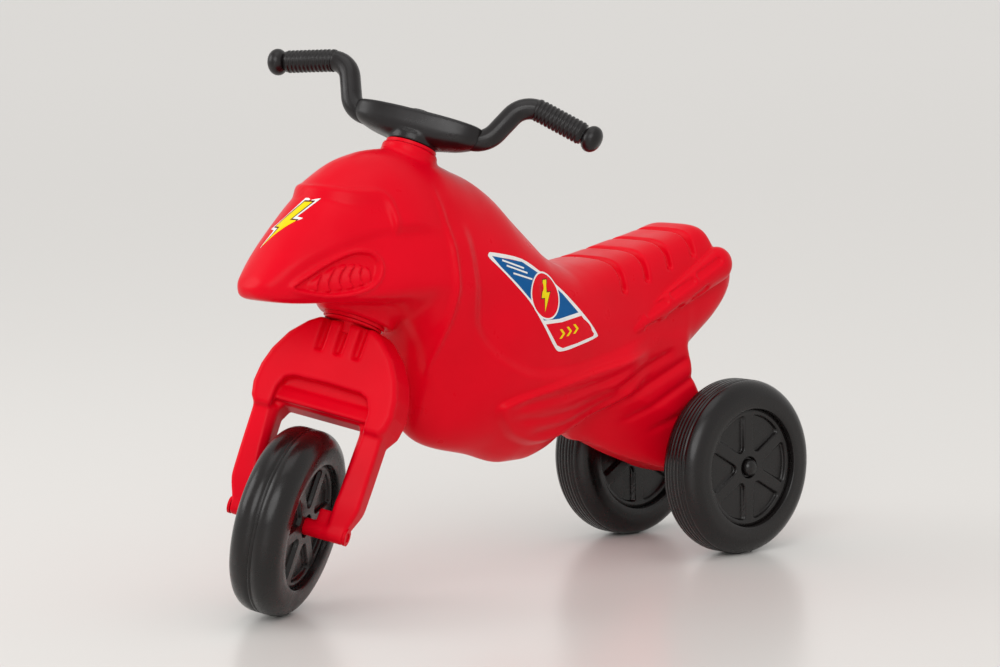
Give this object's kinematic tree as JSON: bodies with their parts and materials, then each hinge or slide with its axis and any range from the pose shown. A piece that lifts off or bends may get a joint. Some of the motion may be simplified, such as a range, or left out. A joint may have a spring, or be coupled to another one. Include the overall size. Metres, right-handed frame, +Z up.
{
  "type": "ride-on tricycle",
  "caption": "Children's three-wheel ride-on in the style of a motorbike, with a hollow moulded body, steering fork and handlebar, and free-turning wheels.",
  "frame": {"origin": "on the floor, in the body's symmetry plane, midway between the front and rear axles", "axes": "-Y is the riding direction, +X the rider's left, +Z up; the front wheel rests turned to the left"},
  "size_m": [0.3034, 0.6966, 0.5283],
  "materials": {
    "red_shell": "satin",
    "red_fork": "satin",
    "black_bar": "satin",
    "black_wheel": "satin",
    "black_bush": "matte",
    "steel": "zinc plated",
    "sticker_film": "printed film"
  },
  "bodies": {
    "body": {"body_shell": "red_shell", "front_sticker": "sticker_film", "side_sticker_left": "sticker_film", "side_sticker_right": "sticker_film", "upper_bush": "black_bush", "lower_bush": "black_bush", "rear_axle": "steel", "axle_spacer_left": "black_bush", "axle_spacer_right": "black_bush", "rear_washer_left": "steel", "rear_washer_right": "steel", "rear_axle_cap_left": "black_wheel", "rear_axle_cap_right": "black_wheel"},
    "steering_group": {"fork": "red_fork", "handlebar": "black_bar", "clamp_bolt": "steel", "clamp_washer": "steel", "clamp_nut": "steel", "bolt_cap": "black_bar", "thrust_washer": "black_bush", "front_axle": "steel", "front_axle_cap_left": "red_fork", "front_axle_cap_right": "red_fork"},
    "front_wheel": {"front_tyre": "black_wheel", "front_disc": "black_wheel"},
    "rear_left_wheel": {"rear_tyre_left": "black_wheel", "rear_disc_left": "black_wheel"},
    "rear_right_wheel": {"rear_tyre_right": "black_wheel", "rear_disc_right": "black_wheel"}
  },
  "joints": [
    {"name": "steering", "type": "hinge", "parent": "body", "child": "steering_group", "pos_m": [0, -0.261, 0.09], "axis": [0, 0.421, 0.907], "range_deg": [-72.7, 7.3]},
    {"name": "front_wheel_spin", "type": "hinge", "parent": "steering_group", "child": "front_wheel", "pos_m": [0, -0.261, 0.09], "axis": [0.8415, 0.49, -0.2275], "continuous": true},
    {"name": "rear_left_wheel_spin", "type": "hinge", "parent": "body", "child": "rear_left_wheel", "pos_m": [0.08125, 0.261, 0.09], "axis": [1, 0, 0], "continuous": true},
    {"name": "rear_right_wheel_spin", "type": "hinge", "parent": "body", "child": "rear_right_wheel", "pos_m": [-0.08125, 0.261, 0.09], "axis": [1, 0, 0], "continuous": true}
  ]
}
